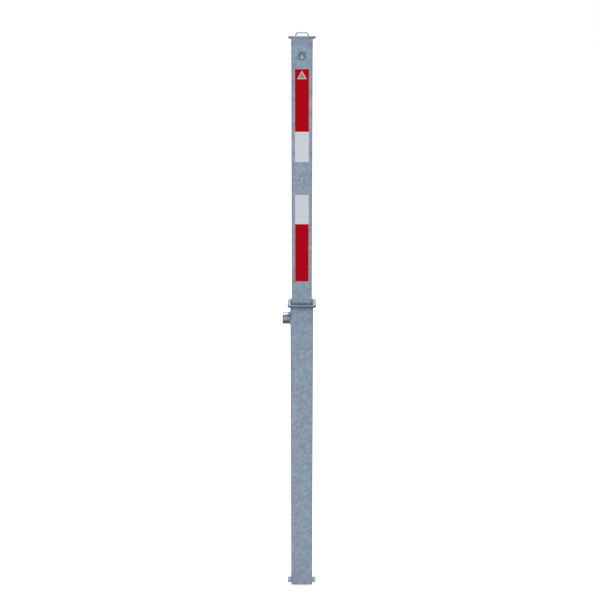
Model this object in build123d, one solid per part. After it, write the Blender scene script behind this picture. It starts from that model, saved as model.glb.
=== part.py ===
from build123d import *
import math
import os

# Retractable barrier post. A square galvanised post slides down into a square ground sleeve.
# A triangular spindle near its top works a rack and a rod, and a cam at the foot of the rod
# throws a round bolt sideways into a pocket on the sleeve.
# Millimetres. The origin is on the post's axis at ground level, +Z is up and -Y is the front.
# The post is drawn raised, with its bolt drawn back.

# Post: square hollow section
post_side = 70.0
post_wall = 3.0
post_corner = 6.0
post_height = 893.5
post_foot_depth = 200.0

# Ground sleeve: square hollow section round the post
slide_gap = 2.0
sleeve_wall = 3.0
sleeve_corner = 6.0
foot_clearance = 2.8
bolt_hole_margin = 4.0

# Flange plate at ground level
flange_rim = 10.0
flange_thickness = 8.0
flange_corner = 20.0
flange_edge_chamfer = 1.0
weld_gap = 0.2

# Anchor bar under the sleeve
anchor_length = 107.0
anchor_width = 30.0
anchor_thickness = 5.0

# Plastic guide bush in the mouth of the sleeve
bush_recess = 4.0
bush_height = 36.0
bush_clearance = 0.6

# Stop strips that keep the post's shoe in the sleeve
stop_width = 30.0
stop_height = 20.0
stop_clearance = 0.4
seat_clearance = 0.3

# Shoe at the foot of the post
shoe_height = 12.0
shoe_clearance = 0.4
shoe_corner = 5.0
spigot_height = 20.0
spigot_wall = 6.0
spigot_clearance = 0.1
drain_diameter = 30.0

# Lid and its folding bail
lid_overhang = 9.0
lid_thickness = 8.0
lid_corner = 13.0
lid_edge_chamfer = 0.8
bail_wire = 4.0
bail_reach = 28.0
bail_root_width = 43.0
bail_tip_width = 35.0
bail_toe_length = 9.5
bail_toe_bend = 3.6
bail_tip_bend = 5.0
bail_tilt = 30.0
bail_clearance = 0.1
bail_pivot_drop = 3.0
window_side_gap = 2.0
window_end_gap = 3.0
window_corner = 5.0

# Sheet pan under the lid's window
pan_sheet = 1.5
pan_depth = 14.0
pan_window_gap = 0.5
pan_wall_gap = 1.0
pan_drain = 6.0

# Lock recess and its cup
lock_drop = 57.5
recess_diameter = 34.5
recess_depth = 12.0
cup_sheet = 2.0
cup_rim = 6.0
cup_floor = 3.0

# Triangular key spindle
key_side = 18.0
key_corner = 1.5
key_sink = 2.0
collar_diameter = 22.0
collar_thickness = 2.0
journal_diameter = 12.0
square_side = 8.0
tail_diameter = 8.0
tail_length = 5.5
journal_clearance = 0.05
axial_clearance = 0.3
circlip_thickness = 1.0
circlip_groove = 0.6
circlip_radial = 2.5
circlip_gap_angle = 60.0

# Pinion and rack
gear_module = 1.5
pinion_teeth = 12
pressure_angle = 25.0
flank_steps = 3
backlash = 0.15
root_clearance = 0.25
pinion_width = 10.0
key_turn = 90.0
rack_side = 12.0
rack_shank = 20.0
rack_end_margin = 4.0

# Bridge plate behind the pinion and the pad behind the rack
bridge_thickness = 3.0
bridge_height = 28.0
bridge_tab = 15.0
bridge_gap = 0.4
pad_thickness = 8.0
pad_height = 24.0

# Pull rod with its fork and pin
rod_diameter = 8.0
rod_socket_depth = 14.0
thread_clearance = 0.05
fork_side = 16.0
fork_neck = 2.0
fork_slot_clearance = 0.2
fork_pin_diameter = 6.0
fork_pin_overhang = 1.0
fork_pin_drop = 8.0

# Guide block for the rod, held by a countersunk screw in the post's front
guide_height = 16.0
guide_arm = 16.0
guide_foot_depth = 20.0
guide_clearance = 0.3
screw_diameter = 8.0
screw_head_diameter = 16.0
screw_length = 16.0
countersink_diameter = 20.4
screw_clearance = 0.1
hex_key = 5.0
hex_depth = 2.5

# Lock bolt, its cross pin and the cam plate
bolt_depth = 58.0
bolt_diameter = 20.0
bolt_clearance = 0.1
bolt_tip_sink = 0.5
bolt_tip_chamfer = 1.5
bolt_end_gap = 1.0
bolt_port_clearance = 0.4
cross_pin_diameter = 6.0
cross_pin_offset = 5.0
cross_pin_sink = 0.5
cam_thickness = 6.0
cam_clearance = 0.2
cam_web = 6.0
cam_side_gap = 1.5
cam_corner = 2.0
slot_clearance = 0.1

# Guide block for the bolt
block_width = 36.0
block_rise = 22.0
block_floor = 6.0
block_floor_gap = 2.0

# Round pocket for the bolt, on the left of the sleeve
pocket_diameter = 42.4
pocket_wall = 3.2
pocket_length = 28.0
pocket_cap = 3.0
pocket_cap_sink = 0.5

# Reflective film on the front
film_width = 46.0
film_thickness = 0.3
film_red_length = 201.5
film_white_length = 100.0
film_lid_drop = 95.5
film_gap = 110.5

# Places that follow from the sizes above
post_inner = post_side / 2 - post_wall
sleeve_inner = post_side / 2 + slide_gap
sleeve_side = 2 * (sleeve_inner + sleeve_wall)
flange_side = sleeve_side + 2 * flange_rim
lid_side = post_side + 2 * lid_overhang
travel = post_height - seat_clearance
shoe_top = -post_foot_depth
shoe_bottom = shoe_top - shoe_height
sleeve_bottom = shoe_bottom - travel - foot_clearance
front = -post_side / 2
lock_height = post_height - lock_drop
pitch_radius = gear_module * pinion_teeth / 2
tooth_pitch = math.pi * gear_module
throw = pitch_radius * math.radians(key_turn)
rack_tip = pitch_radius - gear_module
rack_root = pitch_radius + gear_module * (1 + root_clearance)
rod_x = rack_tip + rack_side / 2
rack_tooth_top = lock_height + throw + pitch_radius
rack_tooth_bottom = lock_height - pitch_radius
rack_bottom = rack_tooth_bottom - rack_shank
rod_top = rack_bottom + rod_socket_depth
bridge_front = rack_side / 2 + bridge_gap
bridge_back = bridge_front + bridge_thickness
bolt_z = -bolt_depth
bolt_tip = -post_side / 2 + bolt_tip_sink
bolt_tail = post_inner - bolt_end_gap
cam_left = cross_pin_offset - throw - cross_pin_diameter / 2 - cam_web / 2
cam_right = cross_pin_offset + cross_pin_diameter / 2 + cam_web / 2
cam_bottom = bolt_z - cross_pin_diameter / 2 - cam_web / 2
block_top = bolt_z + block_rise
block_channel_floor = cam_bottom - throw - block_floor_gap
fork_pin_z = -fork_pin_drop
fork_bottom = fork_pin_z - fork_side / 2
fork_crotch = fork_pin_z + fork_side / 2 + fork_neck
fork_top = fork_crotch + rod_socket_depth + fork_neck
rod_bottom = fork_crotch + fork_neck
screw_depth = (countersink_diameter - screw_head_diameter) / 2 - screw_clearance
upper_film_top = post_height - film_lid_drop
film_length = film_red_length + film_white_length
lower_film_top = upper_film_top - film_length - film_gap
screw_height = lower_film_top + film_gap / 2
bail_pivot_y = -bail_reach / 2
bail_pivot_z = post_height + lid_thickness - bail_pivot_drop
window_width = bail_root_width + bail_wire + 2 * window_side_gap
window_length = bail_reach + bail_wire + 2 * window_end_gap


def prism(outline, bottom, top):
    """Solid with a flat outline, standing between two heights."""
    return extrude(Plane.XY.offset(bottom) * outline, top - bottom, dir=(0, 0, 1))


def bar_along_x(radius, start, end, y, z):
    """Round bar between two places on X."""
    return Pos(start, y, z) * extrude(Plane.YZ * Circle(radius), end - start)


def slab_along_y(outline, start, end):
    """Solid with an outline drawn in X and Z, between two places on Y."""
    return Pos(0, start, 0) * extrude(Plane.XZ * outline, end - start, dir=(0, 1, 0))


def bar_along_y(radius, start, end, x, z):
    """Round bar between two places on Y."""
    return slab_along_y(Pos(x, z) * Circle(radius), start, end)


def block(x_from, x_to, y_from, y_to, z_from, z_to):
    """Square-edged block between two corners."""
    return Pos(x_from, y_from, z_from) * Box(
        x_to - x_from, y_to - y_from, z_to - z_from, align=(Align.MIN, Align.MIN, Align.MIN)
    )


def square_tube(side, wall, corner, bottom, top):
    """Rolled square hollow section, with the bend of its corners inside and out."""
    bore = side - 2 * wall
    section = RectangleRounded(side, side, corner) - RectangleRounded(bore, bore, corner - wall)
    return prism(section, bottom, top)


def cone_into_wall(mouth_radius, start, end):
    """Countersink of 90 degrees on the front, narrowing along +Y."""
    depth = end - start
    cone = Cone(mouth_radius, mouth_radius - depth, depth, align=(Align.CENTER, Align.CENTER, Align.MIN))
    return Pos(0, start, screw_height) * Rot(-90, 0, 0) * cone


def ground_sleeve():
    """Sleeve with a bolt hole for the raised post and one for the lowered post."""
    tube = square_tube(sleeve_side, sleeve_wall, sleeve_corner, sleeve_bottom, 0)
    hole_radius = bolt_diameter / 2 + bolt_hole_margin
    for height in (bolt_z, bolt_z - travel):
        tube -= bar_along_x(hole_radius, -sleeve_side / 2 - 1, 0, 0, height)
    return tube


def flange_plate():
    """Square plate welded round the mouth of the sleeve, flush with its end."""
    plate = prism(RectangleRounded(flange_side, flange_side, flange_corner), -flange_thickness, 0)
    plate = chamfer(plate.edges().group_by(Axis.Z)[-1], flange_edge_chamfer)
    mouth = sleeve_side + 2 * weld_gap
    return plate - prism(RectangleRounded(mouth, mouth, sleeve_corner + weld_gap), -flange_thickness - 1, 1)


def bolt_pocket_tube():
    """Short round tube on the left of the sleeve that takes the thrown bolt."""
    start = -sleeve_side / 2 - pocket_length
    shell = bar_along_x(pocket_diameter / 2, start, -sleeve_side / 2, 0, bolt_z)
    return shell - bar_along_x(pocket_diameter / 2 - pocket_wall, start - 1, 0, 0, bolt_z)


def bolt_pocket_cap():
    """Disc that closes the outer end of the pocket."""
    start = -sleeve_side / 2 - pocket_length + pocket_cap_sink
    radius = pocket_diameter / 2 - pocket_wall - weld_gap
    return bar_along_x(radius, start, start + pocket_cap, 0, bolt_z)


def anchor_bar():
    """Flat bar across the lower end of the sleeve, which the concrete holds down."""
    return prism(Rectangle(anchor_length, anchor_width), sleeve_bottom - anchor_thickness, sleeve_bottom)


def guide_bush():
    """Thin plastic liner that keeps the post central in the mouth of the sleeve."""
    inner = post_side + 2 * bush_clearance
    outline = RectangleRounded(2 * sleeve_inner, 2 * sleeve_inner, sleeve_corner - sleeve_wall + weld_gap)
    ring = outline - RectangleRounded(inner, inner, post_corner + bush_clearance)
    return prism(ring, -bush_recess - bush_height, -bush_recess)


def stop_strip(side):
    """Strip on an inner wall of the sleeve that the shoe meets when the post is fully up."""
    inner = post_side / 2 + stop_clearance
    bottom = shoe_top + seat_clearance
    strip = block(inner, sleeve_inner, -stop_width / 2, stop_width / 2, bottom, bottom + stop_height)
    return strip if side > 0 else mirror(strip, Plane.YZ)


def post_tube():
    """Post with its lock recess, the countersink of the guide screw and the port of the bolt."""
    tube = square_tube(post_side, post_wall, post_corner, -post_foot_depth, post_height)
    tube -= bar_along_y(recess_diameter / 2, front - 1, -post_inner + 1, 0, lock_height)
    tube -= cone_into_wall(countersink_diameter / 2, front, -post_inner)
    port_radius = bolt_diameter / 2 + bolt_port_clearance
    return tube - bar_along_x(port_radius, -post_side / 2 - 1, -post_inner + 1, 0, bolt_z)


def lid_plate():
    """Square lid with a window for the bail and a bore each side for its toes."""
    plate = prism(RectangleRounded(lid_side, lid_side, lid_corner), post_height, post_height + lid_thickness)
    plate -= prism(
        RectangleRounded(window_width, window_length, window_corner),
        post_height - 1,
        post_height + lid_thickness + 1,
    )
    plate = chamfer(plate.edges().group_by(Axis.Z)[-1], lid_edge_chamfer)
    reach = bail_root_width / 2 + bail_toe_length + seat_clearance
    bore = bar_along_x(bail_wire / 2 + bail_clearance, -reach, reach, bail_pivot_y, bail_pivot_z)
    return plate - bore


def lift_bail():
    """Bent wire bail: two toes, two legs that lean together and a bar to lift by."""
    root = bail_root_width / 2
    tip = bail_tip_width / 2
    toe = root + bail_toe_length
    corners = [(toe, 0), (root, 0), (tip, bail_reach), (-tip, bail_reach), (-root, 0), (-toe, 0)]
    bends = [bail_toe_bend, bail_tip_bend, bail_tip_bend, bail_toe_bend]
    path = FilletPolyline(*corners, radius=bends)
    section = Plane(origin=path @ 0, z_dir=path % 0) * Circle(bail_wire / 2)
    return Pos(0, bail_pivot_y, bail_pivot_z) * Rot(bail_tilt, 0, 0) * sweep(section, path=path)


def handle_pan():
    """Pressed pan under the lid's window, so that fingers reach below the folded bail."""
    rim = 2 * (post_inner - pan_wall_gap)
    inner_width = window_width + 2 * pan_window_gap
    inner_length = window_length + 2 * pan_window_gap
    inner = RectangleRounded(inner_width, inner_length, window_corner)
    outer_width = inner_width + 2 * pan_sheet
    outer_length = inner_length + 2 * pan_sheet
    outer = RectangleRounded(outer_width, outer_length, window_corner + pan_sheet)
    pan = prism(RectangleRounded(rim, rim, post_corner), post_height - pan_sheet, post_height)
    pan += prism(outer, post_height - pan_depth, post_height)
    pan -= prism(inner, post_height - pan_depth + pan_sheet, post_height + 1)
    return pan - prism(Circle(pan_drain / 2), post_height - pan_depth - 1, post_height)


def lock_cup():
    """Turned cup behind the round hole, with a rim on the wall and a bore for the spindle."""
    radius = recess_diameter / 2
    floor_front = front + recess_depth
    floor_back = floor_front + cup_floor
    cup = bar_along_y(radius + cup_rim, -post_inner, -post_inner + cup_sheet, 0, lock_height)
    cup += bar_along_y(radius + cup_sheet, -post_inner, floor_back, 0, lock_height)
    cup -= bar_along_y(radius, -post_inner - 1, floor_front, 0, lock_height)
    return cup - bar_along_y(journal_diameter / 2 + journal_clearance, front, floor_back + 1, 0, lock_height)


def key_spindle():
    """Spindle with a triangular head, a collar, a journal, a square for the pinion and a tail."""
    head_front = front + key_sink
    collar_back = front + recess_depth - axial_clearance
    collar_front = collar_back - collar_thickness
    square_front = -pinion_width / 2
    square_back = pinion_width / 2
    tail_end = bridge_back + tail_length
    groove = bridge_back + axial_clearance
    triangle = Triangle(a=key_side, b=key_side, c=key_side, align=None)
    triangle = Pos(-triangle.center()) * fillet(triangle.vertices(), key_corner)
    spindle = slab_along_y(Pos(0, lock_height) * triangle, head_front, collar_front)
    spindle += bar_along_y(collar_diameter / 2, collar_front, collar_back, 0, lock_height)
    spindle += bar_along_y(journal_diameter / 2, collar_back, square_front, 0, lock_height)
    square = Pos(0, lock_height) * Rectangle(square_side, square_side)
    spindle += slab_along_y(square, square_front, square_back)
    spindle += bar_along_y(tail_diameter / 2, square_back, tail_end, 0, lock_height)
    groove_end = groove + circlip_thickness
    groove_radius = tail_diameter / 2 - circlip_groove
    ring = bar_along_y(tail_diameter / 2 + 1, groove, groove_end, 0, lock_height)
    return spindle - (ring - bar_along_y(groove_radius, groove - 1, groove_end + 1, 0, lock_height))


def spindle_circlip():
    """Open spring ring in the groove behind the bridge plate."""
    start = bridge_back + axial_clearance
    end = start + circlip_thickness
    inner = tail_diameter / 2 - circlip_groove
    outer = inner + circlip_radial
    ring = bar_along_y(outer, start, end, 0, lock_height)
    ring -= bar_along_y(inner + journal_clearance, start - 1, end + 1, 0, lock_height)
    half = math.radians(circlip_gap_angle / 2)
    reach = 2 * outer
    mouth = Polygon(
        (0, 0),
        (reach * math.sin(half), -reach * math.cos(half)),
        (-reach * math.sin(half), -reach * math.cos(half)),
        align=None,
    )
    return ring - slab_along_y(Pos(0, lock_height) * mouth, start - 1, end + 1)


def involute(radius):
    """Angle by which an involute from the pinion's base circle has turned at a radius."""
    base_radius = pitch_radius * math.cos(math.radians(pressure_angle))
    slope = math.acos(min(1.0, base_radius / radius))
    return math.tan(slope) - slope


def pinion_tooth():
    """One tooth that points along +X: flanks of short chords of the involute, on a straight stem."""
    base_radius = pitch_radius * math.cos(math.radians(pressure_angle))
    tip_radius = pitch_radius + gear_module
    stem_radius = pitch_radius - gear_module * (1 + root_clearance) - gear_module / 2
    half_at_pitch = (tooth_pitch / 2 - backlash) / (2 * pitch_radius)
    flank = []
    for step in range(flank_steps + 1):
        radius = base_radius + (tip_radius - base_radius) * step / flank_steps
        angle = half_at_pitch + involute(pitch_radius) - involute(radius)
        flank.append((radius * math.cos(angle), radius * math.sin(angle)))
    upper = [(stem_radius, flank[0][1])] + flank
    lower = [(x, -y) for x, y in upper]
    return Polygon(*lower, *reversed(upper), align=None)


def drive_pinion():
    """Spur pinion with involute teeth, on the square of the spindle."""
    gear = Circle(pitch_radius - gear_module * (1 + root_clearance))
    for index in range(pinion_teeth):
        gear += Rot(0, 0, 360 * index / pinion_teeth) * pinion_tooth()
    seat = square_side + 2 * journal_clearance
    gear -= Rectangle(seat, seat)
    return slab_along_y(Pos(0, lock_height) * gear, -pinion_width / 2, pinion_width / 2)


def rack_bar():
    """Square bar with rack teeth towards the spindle and a socket for the rod below."""
    half = rack_side / 2
    top = rack_tooth_top + rack_end_margin
    bar = block(rack_tip, rack_tip + rack_side, -half, half, rack_bottom, top)
    slope = math.tan(math.radians(pressure_angle))
    at_tip = tooth_pitch / 4 + gear_module * slope
    at_root = tooth_pitch / 4 - gear_module * (1 + root_clearance) * slope
    gap = Polygon(
        (rack_tip, -at_tip), (rack_tip, at_tip), (rack_root, at_root), (rack_root, -at_root), align=None
    )
    gaps_below = math.floor((lock_height - rack_tooth_bottom) / tooth_pitch)
    gaps_above = math.floor((rack_tooth_top - lock_height) / tooth_pitch)
    for index in range(-gaps_below, gaps_above + 1):
        height = lock_height + index * tooth_pitch
        bar -= slab_along_y(Pos(0, height) * gap, -half - 1, half + 1)
    socket = Circle(rod_diameter / 2 + thread_clearance)
    return bar - Pos(rod_x, 0, 0) * prism(socket, rack_bottom - 1, rod_top + axial_clearance)


def pull_rod():
    """Round rod down the post, from the rack to the fork."""
    return Pos(rod_x, 0, 0) * prism(Circle(rod_diameter / 2), rod_bottom, rod_top)


def rod_fork():
    """Square fork at the foot of the rod, with a slot for the cam plate."""
    half = fork_side / 2
    fork = block(rod_x - half, rod_x + half, -half, half, fork_bottom, fork_top)
    slot = cam_thickness / 2 + fork_slot_clearance
    fork -= block(rod_x - half - 1, rod_x + half + 1, -slot, slot, fork_bottom - 1, fork_crotch)
    fork -= bar_along_y(fork_pin_diameter / 2 + thread_clearance, -half - 1, half + 1, rod_x, fork_pin_z)
    socket = Circle(rod_diameter / 2 + thread_clearance)
    return fork - Pos(rod_x, 0, 0) * prism(socket, rod_bottom - axial_clearance, fork_top + 1)


def fork_pin():
    """Round pin that holds the cam plate in the fork."""
    half = fork_side / 2 + fork_pin_overhang
    return bar_along_y(fork_pin_diameter / 2, -half, half, rod_x, fork_pin_z)


def cam_plate():
    """Plate with a slot at 45 degrees, which drives the cross pin to the left as it comes down."""
    ear = fork_side / 2
    shoulder = block_top + throw + cam_side_gap
    outline = Polygon(
        (cam_right, cam_bottom),
        (cross_pin_offset - cam_web, cam_bottom),
        (cam_left, cam_bottom + throw),
        (cam_left, bolt_z + throw + cam_web + cross_pin_diameter),
        (rod_x - ear, fork_pin_z),
        (rod_x - ear, fork_pin_z + ear),
        (rod_x + ear, fork_pin_z + ear),
        (rod_x + ear, shoulder + ear / 2),
        (cam_right, shoulder),
        align=None,
    )
    outline = fillet(outline.vertices(), cam_corner)
    width = cross_pin_diameter + 2 * slot_clearance
    slot = Pos(cross_pin_offset - throw / 2, bolt_z + throw / 2) * Rot(0, 0, 135) * SlotCenterToCenter(
        throw * math.sqrt(2), width
    )
    outline -= slot
    outline -= Pos(rod_x, fork_pin_z) * Circle(fork_pin_diameter / 2 + thread_clearance)
    return slab_along_y(outline, -cam_thickness / 2, cam_thickness / 2)


def lock_bolt():
    """Round bolt with a chamfered nose and a slit through which the cam plate passes."""
    bolt = bar_along_x(bolt_diameter / 2, bolt_tip, bolt_tail, 0, bolt_z)
    bolt = chamfer(bolt.edges().group_by(Axis.X)[0], bolt_tip_chamfer)
    slit = cam_thickness / 2 + cam_clearance
    slit_start = cam_left - cam_clearance
    slit_end = cam_right + throw + cam_clearance
    reach = bolt_diameter / 2 + 1
    bolt -= block(slit_start, slit_end, -slit, slit, bolt_z - reach, bolt_z + reach)
    hole = cross_pin_diameter / 2 + thread_clearance
    return bolt - bar_along_y(hole, -reach, reach, cross_pin_offset, bolt_z)


def cross_pin():
    """Pin across the bolt's slit, which runs in the slot of the cam plate."""
    half = bolt_diameter / 2 - cross_pin_sink
    return bar_along_y(cross_pin_diameter / 2, -half, half, cross_pin_offset, bolt_z)


def bolt_block():
    """Block across the inside of the post, bored for the bolt and open above for the cam plate."""
    half = block_width / 2
    body = block(-post_inner, post_inner, -half, half, block_channel_floor - block_floor, block_top)
    left = cam_left - cam_side_gap
    right = cam_right + cam_side_gap
    body -= block(left, right, -half - 1, half + 1, block_channel_floor, block_top + 1)
    return body - bar_along_x(bolt_diameter / 2 + bolt_clearance, -post_side, post_side, 0, bolt_z)


def spindle_bridge():
    """Plate across the post behind the pinion, with a bent tab on each side wall."""
    half = bridge_height / 2
    bottom = lock_height - half
    top = lock_height + half
    plate = block(-post_inner, post_inner, bridge_front, bridge_back, bottom, top)
    for left in (-post_inner, post_inner - bridge_thickness):
        right = left + bridge_thickness
        plate += block(left, right, bridge_front, bridge_front + bridge_tab, bottom, top)
    return plate - bar_along_y(tail_diameter / 2 + journal_clearance, 0, post_inner, 0, lock_height)


def rack_pad():
    """Pad on the bridge plate that keeps the rack in mesh with the pinion."""
    back = rack_tip + rack_side + axial_clearance
    bottom = lock_height - pad_height / 2
    top = lock_height + pad_height / 2
    return block(back, back + pad_thickness, -rack_side / 2, bridge_front, bottom, top)


def rod_guide():
    """Block on the front wall with a rounded arm that holds the rod in line."""
    half = guide_height / 2
    arm = guide_arm / 2
    bottom = screw_height - half
    top = screw_height + half
    guide = block(rod_x - arm, rod_x + arm, -post_inner, 0, bottom, top)
    guide += Pos(rod_x, 0, 0) * prism(Circle(arm), bottom, top)
    guide += block(-half, rod_x, -post_inner, -post_inner + guide_foot_depth, bottom, top)
    bore = Circle(rod_diameter / 2 + guide_clearance)
    guide -= Pos(rod_x, 0, 0) * prism(bore, bottom - 1, top + 1)
    seat_radius = countersink_diameter / 2 - post_wall
    guide -= cone_into_wall(seat_radius, -post_inner, -post_inner + seat_radius - screw_diameter / 2)
    thread = screw_diameter / 2 + thread_clearance
    return guide - bar_along_y(thread, -post_inner, 0, 0, screw_height)


def guide_screw():
    """Countersunk screw with a hexagon socket, through the front wall into the guide block."""
    top = front + screw_depth
    neck = top + (screw_head_diameter - screw_diameter) / 2
    screw = cone_into_wall(screw_head_diameter / 2, top, neck)
    screw += bar_along_y(screw_diameter / 2, neck, top + screw_length, 0, screw_height)
    socket = RegularPolygon(hex_key / 2, 6, major_radius=False)
    return screw - slab_along_y(Pos(0, screw_height) * socket, top - 1, top + hex_depth)


def guide_shoe():
    """Plastic shoe: a collar that slides in the sleeve and a hollow spigot in the post."""
    side = 2 * (sleeve_inner - shoe_clearance)
    spigot = 2 * (post_inner - spigot_clearance)
    bore = spigot - 2 * spigot_wall
    corner = post_corner - post_wall + spigot_clearance
    top = shoe_top + spigot_height
    shoe = prism(RectangleRounded(side, side, shoe_corner), shoe_bottom, shoe_top)
    shoe += prism(RectangleRounded(spigot, spigot, corner), shoe_top, top)
    shoe -= prism(RectangleRounded(bore, bore, corner), shoe_top - shoe_height / 2, top + 1)
    return shoe - prism(Circle(drain_diameter / 2), shoe_bottom - 1, shoe_top)


def film_piece(top, length):
    """Rectangle of reflective film on the front of the post."""
    outline = Pos(0, top - length / 2) * Rectangle(film_width, length)
    return slab_along_y(outline, front - film_thickness, front)


pieces = {
    "ground_sleeve": ground_sleeve(),
    "flange_plate": flange_plate(),
    "bolt_pocket_tube": bolt_pocket_tube(),
    "bolt_pocket_cap": bolt_pocket_cap(),
    "anchor_bar": anchor_bar(),
    "guide_bush": guide_bush(),
    "stop_strip_left": stop_strip(-1),
    "stop_strip_right": stop_strip(1),
    "post_tube": post_tube(),
    "lid_plate": lid_plate(),
    "handle_pan": handle_pan(),
    "lift_bail": lift_bail(),
    "lock_cup": lock_cup(),
    "key_spindle": key_spindle(),
    "drive_pinion": drive_pinion(),
    "spindle_circlip": spindle_circlip(),
    "spindle_bridge": spindle_bridge(),
    "rack_pad": rack_pad(),
    "rack_bar": rack_bar(),
    "pull_rod": pull_rod(),
    "rod_fork": rod_fork(),
    "fork_pin": fork_pin(),
    "cam_plate": cam_plate(),
    "lock_bolt": lock_bolt(),
    "cross_pin": cross_pin(),
    "bolt_block": bolt_block(),
    "rod_guide": rod_guide(),
    "guide_screw": guide_screw(),
    "guide_shoe": guide_shoe(),
    "film_upper_red": film_piece(upper_film_top, film_red_length),
    "film_upper_white": film_piece(upper_film_top - film_red_length, film_white_length),
    "film_lower_white": film_piece(lower_film_top, film_white_length),
    "film_lower_red": film_piece(lower_film_top - film_white_length, film_red_length),
}

os.makedirs("parts", exist_ok=True)
for name, piece in pieces.items():
    export_step(piece, f"parts/{name}.step")
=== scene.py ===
"""Looks of a square galvanised post that slides down into a ground sleeve.

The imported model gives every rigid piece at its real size. This script dresses each of them with a
procedural finish, adds the weld beads and the plain white triangle on the film, and sets up a plain
white studio with the camera of the reference view. Lengths are metres unless a name ends in _mm.
"""

import logging
import math
from collections.abc import Callable, Iterator
from contextlib import contextmanager
from dataclasses import dataclass
from enum import Enum

import bpy
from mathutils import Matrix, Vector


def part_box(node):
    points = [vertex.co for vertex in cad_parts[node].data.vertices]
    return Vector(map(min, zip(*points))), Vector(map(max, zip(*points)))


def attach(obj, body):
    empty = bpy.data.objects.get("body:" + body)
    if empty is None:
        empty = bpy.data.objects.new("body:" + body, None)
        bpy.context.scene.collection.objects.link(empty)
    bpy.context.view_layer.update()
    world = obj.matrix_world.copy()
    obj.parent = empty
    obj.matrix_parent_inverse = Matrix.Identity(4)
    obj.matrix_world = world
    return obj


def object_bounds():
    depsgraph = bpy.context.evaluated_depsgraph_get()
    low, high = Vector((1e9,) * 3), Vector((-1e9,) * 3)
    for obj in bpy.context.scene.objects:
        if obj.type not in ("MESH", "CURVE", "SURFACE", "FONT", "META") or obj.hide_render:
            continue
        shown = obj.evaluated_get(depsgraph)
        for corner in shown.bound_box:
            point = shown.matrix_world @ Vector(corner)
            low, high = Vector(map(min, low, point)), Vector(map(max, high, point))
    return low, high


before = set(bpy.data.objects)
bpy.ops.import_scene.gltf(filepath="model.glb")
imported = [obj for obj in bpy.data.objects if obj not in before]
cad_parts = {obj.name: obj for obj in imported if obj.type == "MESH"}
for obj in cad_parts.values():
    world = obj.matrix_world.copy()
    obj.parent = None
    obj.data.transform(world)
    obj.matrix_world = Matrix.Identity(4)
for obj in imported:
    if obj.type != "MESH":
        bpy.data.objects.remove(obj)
CAD_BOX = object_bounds()

MM = 0.001
log = logging.getLogger("bollard")

# How far off something lies, along X, Y and Z
Offset = tuple[float, float, float]

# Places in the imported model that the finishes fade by
LID_UNDERSIDE, LID_TOP = (corner[2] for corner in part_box("lid_plate"))
FLANGE_UNDERSIDE, GROUND = (corner[2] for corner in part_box("flange_plate"))
LOCK_HEIGHT = sum(corner[2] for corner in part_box("lock_cup")) / 2
SLEEVE_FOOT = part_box("ground_sleeve")[0][2]
SPINDLE_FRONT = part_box("key_spindle")[0][1]

# Between which values a face turns into one of these kinds or out of it, by the upward part of its
# normal or, in a bend, by the product of the two level parts
LOOKS_UP = (0.80, 0.98)
LOOKS_DOWN = (-0.9, -0.1)
STANDS_UPRIGHT = (0.55, 0.99)
ROUNDS_A_BEND = (0.1, 0.5)

# The sRGB curve: a short straight foot, then a power
SRGB_FOOT = 0.04045
SRGB_SLOPE = 12.92
SRGB_OFFSET = 0.055
SRGB_POWER = 2.4

WHITE = "#FFFFFF"

# Settings that several nodes share
SMOOTH = {"interpolation_type": "SMOOTHSTEP"}
COLOURS = {"data_type": "RGBA"}
TIMES = {"operation": "MULTIPLY"}
PLUS = {"operation": "ADD"}
MAGNITUDE = {"operation": "ABSOLUTE"}
LARGER = {"operation": "MAXIMUM"}

# A colour Mix node's sockets share their names, so they go by number
FACTOR = 0
FIRST = 6
SECOND = 7
MIXED = 2


def linear(hex_colour: str) -> tuple[float, float, float, float]:
    """Turn an sRGB hex colour into the linear values that a shader socket takes.

    Args:
        hex_colour: Six hex digits after a hash.

    Returns:
        Red, green, blue and full alpha.
    """
    channels = [int(hex_colour[i:i + 2], 16) / 255 for i in (1, 3, 5)]
    red, green, blue = (
        c / SRGB_SLOPE if c <= SRGB_FOOT else ((c + SRGB_OFFSET) / (1 + SRGB_OFFSET)) ** SRGB_POWER
        for c in channels
    )
    return (red, green, blue, 1.0)


def scale_of(size_mm: float) -> float:
    """Turn the real size of a pattern's features, in millimetres, into features to the metre."""
    return 1 / (size_mm * MM)


def add_node(
    tree: bpy.types.NodeTree,
    kind: str,
    settings: dict[str, str] | None = None,
    inputs: dict[str | int, object] | None = None,
) -> bpy.types.Node:
    """Add one shader node with its settings, its input values and its links.

    Args:
        tree: The tree that gets the node.
        kind: Blender's name of the node type.
        settings: Attributes of the node itself.
        inputs: Socket name or number to a value, to the output socket that feeds it, or to the
            node whose first output feeds it.

    Returns:
        The new node.
    """
    node = tree.nodes.new(kind)
    for name, value in (settings or {}).items():
        setattr(node, name, value)
    for key, value in (inputs or {}).items():
        if isinstance(value, bpy.types.Node):
            value = value.outputs[0]
        if isinstance(value, bpy.types.NodeSocket):
            tree.links.new(value, node.inputs[key])
        else:
            node.inputs[key].default_value = value
    return node


@dataclass(frozen=True)
class Fade:
    """A smooth change from low to high while a measure goes from start to end, and none beyond."""

    start: float
    end: float
    low: float = 0.0
    high: float = 1.0

    def sockets(self, measure: bpy.types.Node | bpy.types.NodeSocket) -> dict[str, object]:
        """Give what a Map Range node takes in to fade by this measure."""
        places = {"Value": measure, "From Min": self.start, "From Max": self.end}
        return places | {"To Min": self.low, "To Max": self.high}


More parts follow.
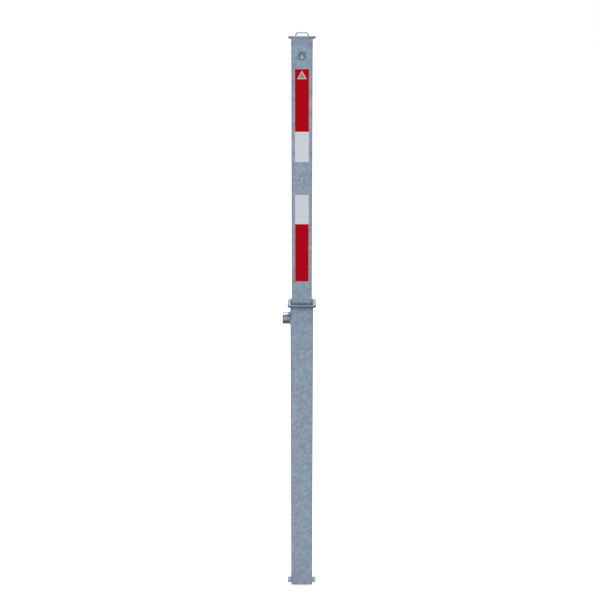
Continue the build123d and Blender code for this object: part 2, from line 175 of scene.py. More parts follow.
@dataclass(frozen=True)
class SurfaceFinish:
    """What all finishes share: a name, and a node material round one Principled shader."""

    name: str

    def build(self) -> bpy.types.Material:
        """Make the node material.

        Returns:
            The material.
        """
        material = bpy.data.materials.new(self.name)
        material.use_nodes = True
        tree = material.node_tree
        tree.nodes.clear()
        shader = add_node(tree, "ShaderNodeBsdfPrincipled", inputs=self.surface(tree))
        add_node(tree, "ShaderNodeOutputMaterial", inputs={"Surface": shader})
        return material

    def surface(self, tree: bpy.types.NodeTree) -> dict[str, object]:
        """Make the surface's nodes, and give the shader's sockets by name with what feeds them."""
        raise NotImplementedError


@dataclass(frozen=True)
class HotDipZinc(SurfaceFinish):
    """Hot-dip galvanised steel: matt grey-blue metal with a faint mottled spangle."""

    # Two hues that drift into each other like clouds, and the painted sky reflection, a tint on
    # faces that look up
    purple: str = "#8A96AA"
    teal: str = "#889DAC"
    upward: str = "#9CB1CB"
    cloud_mm: float = 26.0
    cloud_drift: Fade = Fade(0.35, 0.65)
    # Crystals of the spangle, whose edges are soft and whose tones vary by the contrast
    spangle_mm: float = 8.0
    spangle_softness: float = 0.6
    contrast: float = 0.16
    tone_range: tuple[float, float] = (0.4, 1.6)
    # Ripple of the dipped skin
    peel_mm: float = 2.6
    peel_depth_mm: float = 0.15
    peel_strength: float = 0.25
    octaves: float = 3.0
    fine_octaves: float = 4.0
    roughness: float = 0.42
    roughness_spread: float = 0.07
    metallic: float = 0.55
    # How light the whole is, and the painted light and shade on its upright faces such as cut
    # edges, its bends and its undersides
    level: float = 1.0
    side_level: float = 1.0
    bend_level: float = 0.80
    underside_level: float = 0.62
    # Fades by height, such as the painted shade next to a joint, and levels by how far a face looks
    # up, painted as reflections and shade
    bands: tuple[Fade, ...] = ()
    stripes: tuple[tuple[float, float], ...] = ()

    def surface(self, tree: bpy.types.NodeTree) -> dict[str, object]:
        """Mottle the zinc crystal by crystal, and ripple its skin.

        Args:
            tree: The material's tree.

        Returns:
            The shader's sockets by name, each with a value or with what feeds it.
        """
        coordinates = add_node(tree, "ShaderNodeTexCoord")
        # Object coordinates are the part's own frame, so the mottling runs on from piece to piece
        place = coordinates.outputs["Object"]
        facing = add_node(tree, "ShaderNodeSeparateXYZ", inputs={0: coordinates.outputs["Normal"]})
        tone = self.spangle(tree, place)
        mottled = self.mottle(tree, place, tone.outputs["Red"])
        shade = self.shade(tree, place, facing)
        level = add_node(tree, "ShaderNodeMath", TIMES, {0: mottled, 1: shade})
        tint = self.tint(tree, place, facing.outputs["Z"])
        colour = add_node(
            tree, "ShaderNodeVectorMath", {"operation": "SCALE"}, {0: tint, "Scale": level}
        )
        low, high = self.roughness - self.roughness_spread, self.roughness + self.roughness_spread
        sheen = Fade(0.0, 1.0, low, high)
        rough = add_node(tree, "ShaderNodeMapRange", SMOOTH, sheen.sockets(tone.outputs["Green"]))
        return {
            "Base Color": colour,
            "Roughness": rough,
            "Normal": self.skin(tree, place),
            "Metallic": self.metallic,
        }

    def spangle(self, tree: bpy.types.NodeTree, place: bpy.types.NodeSocket) -> bpy.types.Node:
        """Give each crystal of zinc, about a centimetre across, a tone of its own.

        Args:
            tree: The tree that gets the nodes.
            place: Object coordinates.

        Returns:
            The crystals' colours, split in three tones.
        """
        scale = scale_of(self.spangle_mm)
        warp = add_node(
            tree, "ShaderNodeTexNoise",
            inputs={"Vector": place, "Scale": scale, "Detail": self.octaves},
        )
        bent = add_node(
            tree, "ShaderNodeVectorMath", {"operation": "MULTIPLY_ADD"},
            {0: warp.outputs["Color"], 1: (self.spangle_mm * MM,) * 3, 2: place},
        )
        crystals = add_node(
            tree, "ShaderNodeTexVoronoi", {"feature": "SMOOTH_F1"},
            {"Vector": bent, "Scale": scale, "Smoothness": self.spangle_softness},
        )
        return add_node(
            tree, "ShaderNodeSeparateColor", inputs={"Color": crystals.outputs["Color"]}
        )

    def mottle(
        self, tree: bpy.types.NodeTree, place: bpy.types.NodeSocket, tone: bpy.types.NodeSocket
    ) -> bpy.types.Node:
        """Make the crystals lighter and darker than each other, and speckle each of them.

        Args:
            tree: The tree that gets the nodes.
            place: Object coordinates.
            tone: One tone of the crystals.

        Returns:
            The level, round 1.
        """
        scale = scale_of(self.spangle_mm / 2)
        speckle = add_node(
            tree, "ShaderNodeTexNoise",
            inputs={"Vector": place, "Scale": scale, "Detail": self.fine_octaves},
        )
        grain = add_node(tree, "ShaderNodeMath", PLUS, {0: tone, 1: speckle})
        contrast = Fade(*self.tone_range, 1 - self.contrast, 1 + self.contrast)
        return add_node(tree, "ShaderNodeMapRange", SMOOTH, contrast.sockets(grain))

    def tint(
        self, tree: bpy.types.NodeTree, place: bpy.types.NodeSocket, upward: bpy.types.NodeSocket
    ) -> bpy.types.NodeSocket:
        """Let the two hues drift into each other, and paint the sky's reflection on faces that look
        up.

        Args:
            tree: The tree that gets the nodes.
            place: Object coordinates.
            upward: Upward part of the normal.

        Returns:
            The colour.
        """
        cloud = add_node(
            tree, "ShaderNodeTexNoise",
            inputs={"Vector": place, "Scale": scale_of(self.cloud_mm), "Detail": self.octaves},
        )
        drift = add_node(tree, "ShaderNodeMapRange", SMOOTH, self.cloud_drift.sockets(cloud))
        hue = add_node(
            tree, "ShaderNodeMix", COLOURS,
            {FACTOR: drift, FIRST: linear(self.purple), SECOND: linear(self.teal)},
        )
        # Painted sky reflection: faces that look up take the lighter tint
        sky = add_node(tree, "ShaderNodeMapRange", SMOOTH, Fade(*LOOKS_UP).sockets(upward))
        return add_node(
            tree, "ShaderNodeMix", COLOURS,
            {FACTOR: sky, FIRST: hue.outputs[MIXED], SECOND: linear(self.upward)},
        ).outputs[MIXED]

    def skin(self, tree: bpy.types.NodeTree, place: bpy.types.NodeSocket) -> bpy.types.Node:
        """Ripple the skin as molten zinc leaves it.

        Args:
            tree: The tree that gets the nodes.
            place: Object coordinates.

        Returns:
            The bumped normal.
        """
        peel = add_node(
            tree, "ShaderNodeTexNoise",
            inputs={"Vector": place, "Scale": scale_of(self.peel_mm), "Detail": self.fine_octaves},
        )
        return add_node(
            tree, "ShaderNodeBump",
            inputs={
                "Height": peel,
                "Strength": self.peel_strength,
                "Distance": self.peel_depth_mm * MM,
            },
        )

    def shade(
        self, tree: bpy.types.NodeTree, place: bpy.types.NodeSocket, facing: bpy.types.Node
    ) -> bpy.types.Node:
        """Work out the painted light and shade of the zinc in bends, on undersides, on cut edges
        and beside joints.

        Args:
            tree: The tree that gets the nodes.
            place: Object coordinates.
            facing: The normal, split in three.

        Returns:
            The level.
        """
        upward = facing.outputs["Z"]
        across = add_node(
            tree, "ShaderNodeMath", TIMES, {0: facing.outputs["X"], 1: facing.outputs["Y"]}
        )
        bend = add_node(tree, "ShaderNodeMath", MAGNITUDE, {0: across})
        steep = add_node(tree, "ShaderNodeMath", MAGNITUDE, {0: upward})
        height = add_node(tree, "ShaderNodeSeparateXYZ", inputs={0: place}).outputs["Z"]
        # Painted light and shade by how a face is turned, then the levels by height
        fades = [
            (bend, Fade(*ROUNDS_A_BEND, 1.0, self.bend_level)),
            (upward, Fade(*LOOKS_DOWN, self.underside_level)),
            (steep, Fade(*STANDS_UPRIGHT, self.side_level)),
            *((height, band) for band in self.bands),
        ]
        level = self.level
        for measure, fade in fades:
            step = add_node(tree, "ShaderNodeMapRange", SMOOTH, fade.sockets(measure))
            level = add_node(tree, "ShaderNodeMath", TIMES, {0: level, 1: step})
        if self.stripes:
            stripes = self.striped(tree, upward)
            level = add_node(tree, "ShaderNodeMath", TIMES, {0: level, 1: stripes})
        return level

    def striped(self, tree: bpy.types.NodeTree, upward: bpy.types.NodeSocket) -> bpy.types.Node:
        """Paint reflections and shade by how far a round surface looks up, in stripes as a smooth
        dipped tube shows them.

        Args:
            tree: The tree that gets the nodes.
            upward: Upward part of the normal.

        Returns:
            The level.
        """
        level = self.stripes[0][1]
        for (start, before), (end, after) in zip(self.stripes, self.stripes[1:]):
            change = Fade(start, end, 0.0, after - before)
            step = add_node(tree, "ShaderNodeMapRange", SMOOTH, change.sockets(upward))
            level = add_node(tree, "ShaderNodeMath", PLUS, {0: level, 1: step})
        return level


@dataclass(frozen=True)
class BrightSteel(SurfaceFinish):
    """Turned or drawn steel with a thin zinc plating: smoother and more neutral than the tubes."""

    # The front end is bright, dull off its middle where the finish says so, and darker further
    # back, greasy and in painted shade
    front: str = "#A9B3BF"
    dull: str | None = None
    back: str = "#7C8792"
    middle_fade: Fade = Fade(2.5 * MM, 5.5 * MM)
    grease_and_shade: Fade = Fade(SPINDLE_FRONT + 0.5 * MM, SPINDLE_FRONT + 6.0 * MM)
    # Turning marks, coarser than real ones so that they show
    grain_mm: float = 0.6
    grain_range: tuple[float, float] = (0.3, 0.7)
    octaves: float = 3.0
    roughness: float = 0.34
    roughness_spread: float = 0.06
    metallic: float = 0.75

    def surface(self, tree: bpy.types.NodeTree) -> dict[str, object]:
        """Fade the steel from its bright front to a back that is greasy and in painted shade, and
        vary its sheen.

        Args:
            tree: The material's tree.

        Returns:
            The shader's sockets by name, each with a value or with what feeds it.
        """
        place = add_node(tree, "ShaderNodeTexCoord").outputs["Object"]
        axes = add_node(tree, "ShaderNodeSeparateXYZ", inputs={0: place})
        front = linear(self.front)
        if self.dull is not None:
            aside = add_node(tree, "ShaderNodeMath", MAGNITUDE, {0: axes.outputs["X"]})
            off_middle = add_node(tree, "ShaderNodeMapRange", SMOOTH, self.middle_fade.sockets(aside))
            front = add_node(
                tree, "ShaderNodeMix", COLOURS,
                {FACTOR: off_middle, FIRST: front, SECOND: linear(self.dull)},
            ).outputs[MIXED]
        # Darker further back: grease, and painted shade deeper in the recess
        grease_and_shade = self.grease_and_shade.sockets(axes.outputs["Y"])
        behind = add_node(tree, "ShaderNodeMapRange", SMOOTH, grease_and_shade)
        colour = add_node(
            tree, "ShaderNodeMix", COLOURS,
            {FACTOR: behind, FIRST: front, SECOND: linear(self.back)},
        )
        grain = add_node(
            tree, "ShaderNodeTexNoise",
            inputs={"Vector": place, "Scale": scale_of(self.grain_mm), "Detail": self.octaves},
        )
        low, high = self.roughness - self.roughness_spread, self.roughness + self.roughness_spread
        sheen = Fade(*self.grain_range, low, high)
        rough = add_node(tree, "ShaderNodeMapRange", SMOOTH, sheen.sockets(grain))
        return {"Base Color": colour.outputs[MIXED], "Roughness": rough, "Metallic": self.metallic}


@dataclass(frozen=True)
class MouldedPolyamide(SurfaceFinish):
    """Black polyamide as moulded: matt, with a fine eroded skin."""

    colour: str = "#192230"
    worn_colour: str = "#283648"
    wear_mm: float = 12.0
    wear_octaves: float = 3.0
    # The skin's grain, coarser than a real one so that it shows
    skin_mm: float = 0.8
    skin_depth_mm: float = 0.05
    skin_strength: float = 0.2
    skin_octaves: float = 2.0
    roughness: float = 0.55

    def surface(self, tree: bpy.types.NodeTree) -> dict[str, object]:
        """Scuff the plastic in patches, over a fine grain.

        Args:
            tree: The material's tree.

        Returns:
            The shader's sockets by name, each with a value or with what feeds it.
        """
        place = add_node(tree, "ShaderNodeTexCoord").outputs["Object"]
        wear = add_node(
            tree, "ShaderNodeTexNoise",
            inputs={"Vector": place, "Scale": scale_of(self.wear_mm), "Detail": self.wear_octaves},
        )
        colour = add_node(
            tree, "ShaderNodeMix", COLOURS,
            {FACTOR: wear, FIRST: linear(self.colour), SECOND: linear(self.worn_colour)},
        )
        skin = add_node(
            tree, "ShaderNodeTexNoise",
            inputs={"Vector": place, "Scale": scale_of(self.skin_mm), "Detail": self.skin_octaves},
        )
        bump = add_node(
            tree, "ShaderNodeBump",
            inputs={
                "Height": skin,
                "Strength": self.skin_strength,
                "Distance": self.skin_depth_mm * MM,
            },
        )
        return {"Base Color": colour.outputs[MIXED], "Normal": bump, "Roughness": self.roughness}


@dataclass(frozen=True)
class ReflectiveFilm(SurfaceFinish):
    """Retroreflective sheeting: even colour under a clear skin, with faint honeycomb cells."""

    colour: str
    wall_colour: str
    cell_mm: float = 3.2
    cell_randomness: float = 0.1
    cell_wall: Fade = Fade(0.0, 0.08)
    roughness: float = 0.45
    specular: float = 0.03

    def surface(self, tree: bpy.types.NodeTree) -> dict[str, object]:
        """Draw the honeycomb's walls a little darker than its cells.

        Args:
            tree: The material's tree.

        Returns:
            The shader's sockets by name, each with a value or with what feeds it.
        """
        place = add_node(tree, "ShaderNodeTexCoord").outputs["Object"]
        cells = add_node(
            tree, "ShaderNodeTexVoronoi", {"feature": "DISTANCE_TO_EDGE"},
            {"Vector": place, "Scale": scale_of(self.cell_mm), "Randomness": self.cell_randomness},
        )
        inside = add_node(tree, "ShaderNodeMapRange", SMOOTH, self.cell_wall.sockets(cells))
        colour = add_node(
            tree, "ShaderNodeMix", COLOURS,
            {FACTOR: inside, FIRST: linear(self.wall_colour), SECOND: linear(self.colour)},
        )
        return {
            "Base Color": colour.outputs[MIXED],
            "Roughness": self.roughness,
            "Specular IOR Level": self.specular,
        }


class Finish(Enum):
    """The finishes of the post and its sleeve."""

    # Square tube dipped in zinc after welding: even, matt and blue-grey, with painted shade just
    # above the sleeve's mouth and painted light right at it, a little darker low down and a touch
    # lighter higher up, painted light in a rim under the lid, and painted shade on slopes that face
    # up, such as the screw's countersink
    POST_ZINC = HotDipZinc(
        "galvanised_post_tube",
        level=0.95,
        bands=(
            Fade(GROUND + 5.5 * MM, GROUND + 9.5 * MM, 0.66),
            Fade(GROUND + 1.5 * MM, GROUND + 3.4 * MM, 1.60),
            Fade(GROUND + 20 * MM, GROUND + 300 * MM, 0.90),
            Fade(LID_UNDERSIDE - 1.5 * MM, LID_UNDERSIDE - 9.5 * MM, 1.22),
            Fade(GROUND + 620 * MM, GROUND + 500 * MM, 1.025),
        ),
        stripes=((0.30, 1.0), (0.62, 0.74), (0.80, 0.74), (0.95, 1.0)),
    )
    # The same zinc on the wider tube, a shade darker, and in the plate's shadow at its top
    SLEEVE_ZINC = HotDipZinc(
        "galvanised_sleeve_tube",
        level=0.85,
        bands=(
            Fade(FLANGE_UNDERSIDE - 1 * MM, FLANGE_UNDERSIDE - 19 * MM, 0.60),
            Fade(SLEEVE_FOOT + 8 * MM, GROUND - 100 * MM, 0.92),
        ),
    )
    # Flame-cut plate: painted shade darkens its upright cut edge against its face, and painted
    # light lifts that edge where it rounds a corner
    PLATE_ZINC = HotDipZinc("galvanised_flange_plate", side_level=0.27, bend_level=1.35)
    # Sheared lid: painted shade on its upright edge, a duller painted sky tint on top, and lighter
    # along the lowest few millimetres of its edge
    LID_ZINC = HotDipZinc(
        "galvanised_lid_plate",
        upward="#8592A4",
        side_level=0.63,
        bands=(Fade(LID_UNDERSIDE + 1 * MM, LID_UNDERSIDE + 4.5 * MM, 1.25),),
    )
    # Small fittings dipped with the tubes, some of them sheltered and clean
    FITTING_ZINC = HotDipZinc("galvanised_fittings")
    # Turned cup of the lock: painted light on its floor, painted shade under its upper rim
    CUP_ZINC = HotDipZinc(
        "galvanised_lock_cup",
        level=1.30,
        bands=(Fade(LOCK_HEIGHT + 15 * MM, LOCK_HEIGHT + 6 * MM, 0.62),),
    )
    # Drawn round tube: the zinc runs off smoothly, and painted stripes stand for its reflections of
    # the sky and the ground, with a painted highlight near the top
    TUBE_ZINC = HotDipZinc(
        "galvanised_round_tube",
        roughness=0.30,
        underside_level=1.0,
        stripes=(
            (-0.60, 0.215), (-0.30, 0.17), (-0.02, 0.74), (0.20, 1.05), (0.31, 1.03),
            (0.56, 0.50), (0.77, 0.33), (0.90, 2.2), (0.98, 1.0),
        ),
    )
    # Weld metal under zinc: finely rippled and rougher in tone than the rolled sections
    BEAD_ZINC = HotDipZinc("galvanised_weld_bead", level=1.02, contrast=0.22, peel_mm=1.4)
    # Bent wire, much darker near its hinge, below a line just above the lid, and lighter on the bar
    # that hands hold
    WIRE_ZINC = HotDipZinc(
        "galvanised_wire",
        purple="#93939F",
        teal="#93979F",
        upward="#92979F",
        roughness=0.34,
        level=1.05,
        bands=(Fade(LID_TOP + 7.7 * MM, LID_TOP + 9.7 * MM, 0.30),),
    )
    # Turned, plated steel inside the post: smooth, with a little grease
    STEEL = BrightSteel("zinc_plated_steel")
    # The key's three-sided spindle: lighter down the middle of its front, and darker further back
    # in its recess, greasy and in painted shade
    SPINDLE = BrightSteel("key_steel_painted_shade", front="#98A7B8", dull="#7B8A99", back="#6C7885")
    # Countersunk screw dipped with the post, so it is hardly brighter than the tube round it
    SCREW = BrightSteel("zinc_coated_screw", front="#919FAE", back="#87929F")
    # Moulded liner and shoe: black, matt, scuffed grey where the post rubs
    POLYAMIDE = MouldedPolyamide("moulded_black_polyamide")
    # Reflective sheeting: strong flat colour under a clear skin with a faint honeycomb
    RED_FILM = ReflectiveFilm("red_reflective_sheeting", "#B60416", "#A80312")
    WHITE_FILM = ReflectiveFilm("white_reflective_sheeting", "#D6D9E0", "#CBCFD7")
    # The small patch is older sheeting, duller than the bands, with a weathered field
    PATCH_FILM = ReflectiveFilm("white_patch_sheeting", "#C6C4C1", "#BBB9B7")
    PATCH_FIELD = ReflectiveFilm("grey_patch_field", "#929194", "#88878A")


class Finisher:
    """Builds each finish once and puts it on pieces."""

    def __init__(self) -> None:
        """Build every finish."""
        self.materials = {finish: finish.value.build() for finish in Finish}

    def dress(self, piece: bpy.types.Object, *finishes: Finish) -> None:
        """Give a piece these finishes and no others, the first of them all over.

        Args:
            piece: A CAD node or a new piece.
            finishes: The finishes that it gets.
        """
        piece.data.materials.clear()
        for finish in finishes:
            piece.data.materials.append(self.materials[finish])
            log.info("%s: %s", piece.name, self.materials[finish].name)

    def dress_nodes(self, finish: Finish, *names: str) -> None:
        """Put one finish on the CAD nodes with these names."""
        for name in names:
            self.dress(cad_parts[name], finish)


class Domain(Enum):
    """What an edit acts on, with Blender's select mode for it."""

    VERTICES = (True, False, False)
    EDGES = (False, True, False)
    POLYGONS = (False, False, True)


def take(piece: bpy.types.Object) -> None:
    """Make one piece the only selected and the active one.

    Args:
        piece: The piece to work on.
    """
    bpy.ops.object.select_all(action="DESELECT")
    piece.select_set(True)
    bpy.context.view_layer.objects.active = piece


def settle(piece: bpy.types.Object) -> None:
    """Put a piece's place, turn and scale into its mesh."""
    take(piece)
    bpy.ops.object.transform_apply(location=True, rotation=True, scale=True)


def copy_aside(piece: bpy.types.Object, name: str, offset: Offset) -> bpy.types.Object:
    """Copy a settled piece with a mesh of its own, and put the copy some way off.

    Args:
        piece: The piece to copy.
        name: Name of the copy.
        offset: How far off the copy is.

    Returns:
        The copy.
    """
    take(piece)
    bpy.ops.object.duplicate(linked=False)
    copy = bpy.context.object
    copy.name = name
    copy.location = offset
    settle(copy)
    return copy


@contextmanager
def editing(piece: bpy.types.Object, domain: Domain, chosen: Callable[..., bool]) -> Iterator[None]:
    """Open a piece in edit mode with some of its elements selected, and close it afterwards.

    Args:
        piece: The mesh piece.
        domain: Whether vertices, edges or faces are selected.
        chosen: Says of one element whether it is selected.

    Yields:
        Nothing; the edit operators act on the selection meanwhile.
    """
    take(piece)
    bpy.context.tool_settings.mesh_select_mode = domain.value
    mesh = piece.data
    for kind in Domain:
        for element in getattr(mesh, kind.name.lower()):
            element.select = kind is domain and chosen(element)
    bpy.ops.object.mode_set(mode="EDIT")
    yield
    bpy.ops.object.mode_set(mode="OBJECT")


def length_of(mesh: bpy.types.Mesh, edge: bpy.types.MeshEdge) -> float:
    """Measure one edge of a mesh, in metres."""
    first, second = (mesh.vertices[i].co for i in edge.vertices)
    return (second - first).length


@dataclass
class WeldBead:
    """One run of weld, with the small ripples that the moving pool leaves behind it."""

    finisher: Finisher
    name: str
    body: str
    radius: float
    ripple: float = 2.0 * MM
    swell: float = 0.09
    step: float = 0.5 * MM
    bevel_rings: int = 2
    corner_steps: int = 12

    def round_a_square(self, side: float, corner: float, height: float) -> bpy.types.Object:
        """Run the bead round a square section with rounded corners.

        Args:
            side: Width of the path.
            corner: Radius of the path's corners.
            height: Height of the path.

        Returns:
            The bead.
        """
        bpy.ops.object.select_all(action="DESELECT")
        bpy.ops.mesh.primitive_plane_add(size=side, location=(0, 0, height))
        path = bpy.context.object
        with editing(path, Domain.VERTICES, lambda vertex: True):
            bpy.ops.mesh.bevel(offset=corner, segments=self.corner_steps, affect="VERTICES")
        with editing(path, Domain.POLYGONS, lambda face: True):
            bpy.ops.mesh.delete(type="ONLY_FACE")
        with editing(path, Domain.EDGES, lambda edge: length_of(path.data, edge) > corner):
            bpy.ops.mesh.subdivide(number_cuts=round((side - 2 * corner) / self.step))
        return self.lay(path)

    def round_a_tube(self, radius: float, x: float, z: float) -> bpy.types.Object:
        """Run the bead round a tube that lies along X.

        Args:
            radius: Radius of the path.
            x: Where the path lies on X.
            z: Height of the tube's axis.

        Returns:
            The bead.
        """
        bpy.ops.object.select_all(action="DESELECT")
        bpy.ops.mesh.primitive_circle_add(
            vertices=round(math.tau * radius / self.step), radius=radius,
            location=(x, 0, z), rotation=(0, math.radians(90), 0),
        )
        return self.lay(bpy.context.object)

    def along_y(self, length: float, x: float, z: float) -> bpy.types.Object:
        """Run the bead straight along Y, centred on the section.

        Args:
            length: Length of the path.
            x: Where the path lies on X.
            z: Height of the path.

        Returns:
            The bead.
        """
        bpy.ops.object.select_all(action="DESELECT")
        bpy.ops.mesh.primitive_plane_add(size=length, location=(x + length / 2, 0, z))
        path = bpy.context.object
        with editing(path, Domain.VERTICES, lambda vertex: vertex.co.x > 0):
            bpy.ops.mesh.delete(type="VERT")
        with editing(path, Domain.EDGES, lambda edge: True):
            bpy.ops.mesh.subdivide(number_cuts=round(length / self.step))
        return self.lay(path)

    def lay(self, path: bpy.types.Object) -> bpy.types.Object:
        """Turn a path of edges into a rippled bead.

        Args:
            path: Mesh of edges alone.

        Returns:
            The bead.
        """
        path.name = self.name
        settle(path)
        bpy.ops.object.convert(target="CURVE")
        path.data.bevel_depth = self.radius
        path.data.bevel_resolution = self.bevel_rings
        path.data.use_fill_caps = True
        for spline in path.data.splines:
            run = 0.0
            last = spline.points[0].co
            for point in spline.points:
                run += (point.co - last).length
                last = point.co
                # Each ripple rises slowly and ends in a step, as a frozen pool does
                point.radius = 1 + self.swell * (run / self.ripple % 1.0 - 0.5)
        bpy.ops.object.convert(target="MESH")
        with editing(path, Domain.POLYGONS, lambda face: True):
            bpy.ops.mesh.normals_make_consistent(inside=False)
        bpy.ops.object.shade_smooth()
        self.hand_over(path)
        return path

    def repeat(self, bead: bpy.types.Object, name: str, offset: Offset) -> None:
        """Lay the same bead once more, some way off."""
        self.hand_over(copy_aside(bead, name, offset))

    def hand_over(self, bead: bpy.types.Object) -> None:
        """Dress a bead and let it ride on its body.

        Args:
            bead: The bead.
        """
        self.finisher.dress(bead, Finish.BEAD_ZINC)
        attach(bead, self.body)


@dataclass
class GroundSleeve:
    """The square sleeve in the ground, with its flange, bolt pocket, anchor bar and liner."""

    finisher: Finisher
    bead: float = 2.4 * MM
    pocket_bead: float = 1.6 * MM
    bead_sink: float = 0.9 * MM
    section_corner: float = 6.0 * MM
    body: str = "sleeve"

    def build(self) -> None:
        """Dress the sleeve and lay its weld beads."""
        self.dress()
        low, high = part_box("ground_sleeve")
        path_side = high[0] - low[0] + 2 * self.bead_sink
        self.weld_flange(path_side)
        self.weld_pocket(low[0] - self.bead_sink)
        self.weld_anchor_bar(path_side)

    def dress(self) -> None:
        """Give each CAD piece of the sleeve its finish."""
        self.finisher.dress_nodes(Finish.SLEEVE_ZINC, "ground_sleeve")
        self.finisher.dress_nodes(Finish.PLATE_ZINC, "flange_plate")
        self.finisher.dress_nodes(Finish.TUBE_ZINC, "bolt_pocket_tube")
        self.finisher.dress_nodes(
            Finish.FITTING_ZINC,
            "bolt_pocket_cap", "anchor_bar", "stop_strip_left", "stop_strip_right",
        )
        self.finisher.dress_nodes(Finish.POLYAMIDE, "guide_bush")

    def weld_flange(self, side: float) -> None:
        """Run a bead round the sleeve under its flange.

        Args:
            side: Width of the bead's path.
        """
        bead = WeldBead(self.finisher, "flange_weld", self.body, self.bead)
        height = FLANGE_UNDERSIDE - self.bead_sink
        bead.round_a_square(side, self.section_corner + self.bead_sink, height)

    def weld_pocket(self, x: float) -> None:
        """Run a bead round the bolt's pocket where it meets the sleeve.

        Args:
            x: Where the bead's path lies on X.
        """
        low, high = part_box("bolt_pocket_tube")
        bead = WeldBead(self.finisher, "pocket_weld", self.body, self.pocket_bead)
        bead.round_a_tube((high[1] - low[1]) / 2 + self.bead_sink, x, (high[2] + low[2]) / 2)

    def weld_anchor_bar(self, side: float) -> None:
        """Run a bead on the anchor bar along both sides of the sleeve.

        Args:
            side: How far apart the two beads' paths are.
        """
        low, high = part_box("anchor_bar")
        length = high[1] - low[1] - 2 * self.bead
        bead = WeldBead(self.finisher, "anchor_weld_left", self.body, self.bead)
        left = bead.along_y(length, -side / 2, high[2] + self.bead_sink)
        bead.repeat(left, "anchor_weld_right", (side, 0, 0))


@dataclass
class TrianglePatch:
    """Plain three-sided piece of white film near the top of the upper band, with a grey field."""

    finisher: Finisher
    side: float = 31.0 * MM
    drop: float = 31.4 * MM
    corner: float = 1.2 * MM
    corner_steps: int = 4
    border: float = 2.6 * MM
    thickness: float = 0.12 * MM
    # In shares of the thickness: how far forward the front face lies at least, and how long an edge
    # that runs through is at most
    front_share: float = 0.9
    through_share: float = 1.5
    name: str = "triangle_patch"
    body: str = "post"

    def build(self) -> None:
        """Model the patch on the film and dress its border and its field."""
        film_low, film_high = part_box("film_upper_red")
        carrier = film_low[1]
        front = carrier - self.front_share * self.thickness
        outer_radius = self.side / math.sqrt(3)
        middle = film_high[2] - self.drop + outer_radius / 2
        bpy.ops.object.select_all(action="DESELECT")
        bpy.ops.mesh.primitive_circle_add(
            vertices=3, radius=outer_radius, fill_type="NGON",
            location=(0, carrier, middle), rotation=(math.radians(90), 0, 0),
        )
        patch = bpy.context.object
        patch.name = self.name
        settle(patch)
        forward = {"value": (0, -self.thickness, 0)}
        with editing(patch, Domain.POLYGONS, lambda face: True):
            bpy.ops.mesh.extrude_region_move(TRANSFORM_OT_translate=forward)
        with editing(patch, Domain.POLYGONS, lambda face: face.center.y < front):
            bpy.ops.mesh.inset(thickness=self.border, depth=0.0)
        longest = self.through_share * self.thickness
        with editing(patch, Domain.EDGES, lambda edge: length_of(patch.data, edge) < longest):
            bpy.ops.mesh.bevel(offset=self.corner, segments=self.corner_steps, affect="EDGES")
        with editing(patch, Domain.POLYGONS, lambda face: True):
            bpy.ops.mesh.normals_make_consistent(inside=False)
        self.finisher.dress(patch, Finish.PATCH_FILM, Finish.PATCH_FIELD)
        for face in patch.data.polygons:
            # The field is the one face of the front whose middle is the patch's
            if face.center.y < front and abs(face.center.z - middle) < self.border / 2:
                face.material_index = 1
        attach(patch, self.body)


@dataclass
class BarrierPost:
    """The square post with its lid, handle pan, lock cup, shoe, guides and reflective film."""

    finisher: Finisher
    bead: float = 1.3 * MM
    bead_sink: float = 0.35 * MM
    ripple: float = 1.5 * MM
    section_corner: float = 6.0 * MM
    body: str = "post"

    def build(self) -> None:
        """Dress the post, weld its lid on and stick the patch on its film."""
        self.dress()
        self.weld_lid()
        TrianglePatch(self.finisher).build()

    def dress(self) -> None:
        """Give each CAD piece of the post its finish."""
        self.finisher.dress_nodes(Finish.POST_ZINC, "post_tube")
        self.finisher.dress_nodes(Finish.LID_ZINC, "lid_plate")
        self.finisher.dress_nodes(Finish.CUP_ZINC, "lock_cup")
        self.finisher.dress_nodes(
            Finish.FITTING_ZINC, "handle_pan", "spindle_bridge", "bolt_block", "rod_guide"
        )
        self.finisher.dress_nodes(Finish.SCREW, "guide_screw")
        self.finisher.dress_nodes(Finish.POLYAMIDE, "guide_shoe", "rack_pad")
        self.finisher.dress_nodes(Finish.RED_FILM, "film_upper_red", "film_lower_red")
        self.finisher.dress_nodes(Finish.WHITE_FILM, "film_upper_white", "film_lower_white")

    def weld_lid(self) -> None:
        """Run a bead round the post under its lid."""
        low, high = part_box("post_tube")
        side = high[0] - low[0] + 2 * self.bead_sink
        # The bead is small, because it goes down into the sleeve's mouth with the post
        bead = WeldBead(self.finisher, "lid_weld", self.body, self.bead, ripple=self.ripple)
        bead.round_a_square(side, self.section_corner + self.bead_sink, high[2] - self.bead_sink)


@dataclass
class LiftBail:
    """The bent wire bail that folds into the lid."""

    finisher: Finisher

    def build(self) -> None:
        """Dress the wire."""
        self.finisher.dress_nodes(Finish.WIRE_ZINC, "lift_bail")


@dataclass
class LockDrive:
    """The key spindle, its pinion, the rack with its rod and cam, and the bolt at the foot."""

    finisher: Finisher

    def build(self) -> None:
        """Dress the moving pieces of the lock."""
        self.finisher.dress_nodes(Finish.SPINDLE, "key_spindle")
        self.finisher.dress_nodes(
            Finish.STEEL,
            "rack_bar", "pull_rod", "fork_pin", "drive_pinion", "spindle_circlip",
            "lock_bolt", "cross_pin",
        )
        self.finisher.dress_nodes(Finish.FITTING_ZINC, "rod_fork", "cam_plate")


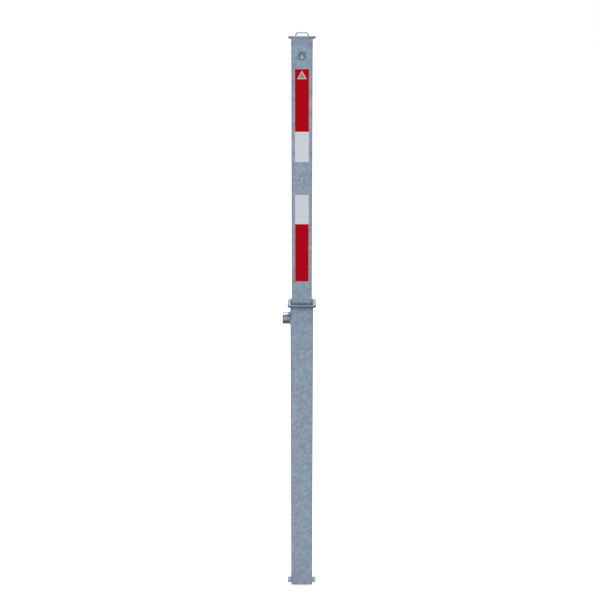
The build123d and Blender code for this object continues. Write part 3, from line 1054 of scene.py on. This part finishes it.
@dataclass
class Studio:
    """White floor and backdrop, soft light and the camera of the reference view."""

    pitch_deg: float = 16.0
    distance: float = 3.156
    height: float = 0.9125
    aside: float = -0.0064
    focal_px: float = 932.8
    frame_px: float = 600.0
    sensor_mm: float = 36.0
    far_limit: float = 1000.0
    floor_gap: float = 0.0004
    floor_size: float = 240.0
    floor_colour: str = "#E4E4E4"
    floor_glow: float = 0.6
    world_level: float = 0.8
    lamp_height: float = 3.4
    lamp_size: float = 2.6
    lamp_power: float = 110.0

    def build(self) -> None:
        """Set up the camera, the floor, the world and the lamp."""
        self.build_camera()
        self.build_floor()
        self.build_world()
        self.build_lamp()
        bpy.context.scene.view_settings.view_transform = "Standard"

    def build_camera(self) -> None:
        """Place the camera as the reference view has it."""
        data = bpy.data.cameras.new("camera")
        data.sensor_fit = "HORIZONTAL"
        data.sensor_width = self.sensor_mm
        data.lens = self.focal_px / self.frame_px * self.sensor_mm
        data.clip_end = self.far_limit
        camera = bpy.data.objects.new("camera", data)
        bpy.context.scene.collection.objects.link(camera)
        camera.location = (self.aside, -self.distance, self.height)
        camera.rotation_euler = (math.radians(90 - self.pitch_deg), 0.0, 0.0)
        bpy.context.scene.camera = camera

    def build_floor(self) -> None:
        """Lay a wide white floor just under the anchor bar."""
        bpy.ops.object.select_all(action="DESELECT")
        bpy.ops.mesh.primitive_plane_add(
            size=self.floor_size, location=(0, 0, CAD_BOX[0][2] - self.floor_gap)
        )
        floor = bpy.context.object
        floor.name = "floor"
        settle(floor)
        material = bpy.data.materials.new("white_floor")
        material.use_nodes = True
        tree = material.node_tree
        tree.nodes.clear()
        matt = add_node(tree, "ShaderNodeBsdfDiffuse", inputs={"Color": linear(self.floor_colour)})
        glow = add_node(
            tree, "ShaderNodeEmission", inputs={"Color": linear(WHITE), "Strength": self.floor_glow}
        )
        both = add_node(tree, "ShaderNodeAddShader", inputs={0: matt, 1: glow})
        mix = add_node(tree, "ShaderNodeMixShader", inputs={0: self.seen(tree), 1: matt, 2: both})
        add_node(tree, "ShaderNodeOutputMaterial", inputs={"Surface": mix})
        floor.data.materials.append(material)

    def seen(self, tree: bpy.types.NodeTree) -> bpy.types.Node:
        """Give 1 for rays from the camera, straight, mirrored or through glass, and 0 for light.

        Args:
            tree: The tree that gets the nodes.

        Returns:
            The factor.
        """
        path = add_node(tree, "ShaderNodeLightPath").outputs
        mirrored = add_node(
            tree, "ShaderNodeMath", LARGER, {0: path["Is Camera Ray"], 1: path["Is Glossy Ray"]}
        )
        return add_node(
            tree, "ShaderNodeMath", LARGER, {0: mirrored, 1: path["Is Transmission Ray"]}
        )

    def build_world(self) -> None:
        """Light evenly from all round, and look white."""
        world = bpy.data.worlds.new("white_world")
        bpy.context.scene.world = world
        world.use_nodes = True
        tree = world.node_tree
        tree.nodes.clear()
        strength = Fade(0.0, 1.0, self.world_level, 1.0)
        level = add_node(tree, "ShaderNodeMapRange", SMOOTH, strength.sockets(self.seen(tree)))
        shine = add_node(
            tree, "ShaderNodeBackground", inputs={"Color": linear(WHITE), "Strength": level}
        )
        add_node(tree, "ShaderNodeOutputWorld", inputs={"Surface": shine})

    def build_lamp(self) -> None:
        """Hang one wide soft lamp overhead, so that upward faces are the brightest."""
        data = bpy.data.lights.new("overhead_softbox", "AREA")
        data.shape = "SQUARE"
        data.size = self.lamp_size
        data.energy = self.lamp_power
        lamp = bpy.data.objects.new("overhead_softbox", data)
        bpy.context.scene.collection.objects.link(lamp)
        lamp.location = (0.0, 0.0, self.lamp_height)


def main() -> None:
    """Build the studio, then build and dress the sub-assemblies in order."""
    logging.basicConfig(level=logging.INFO, format="%(name)s: %(message)s")
    Studio().build()
    finisher = Finisher()
    for assembly in (GroundSleeve, BarrierPost, LiftBail, LockDrive):
        assembly(finisher).build()


if __name__ == "__main__":
    main()
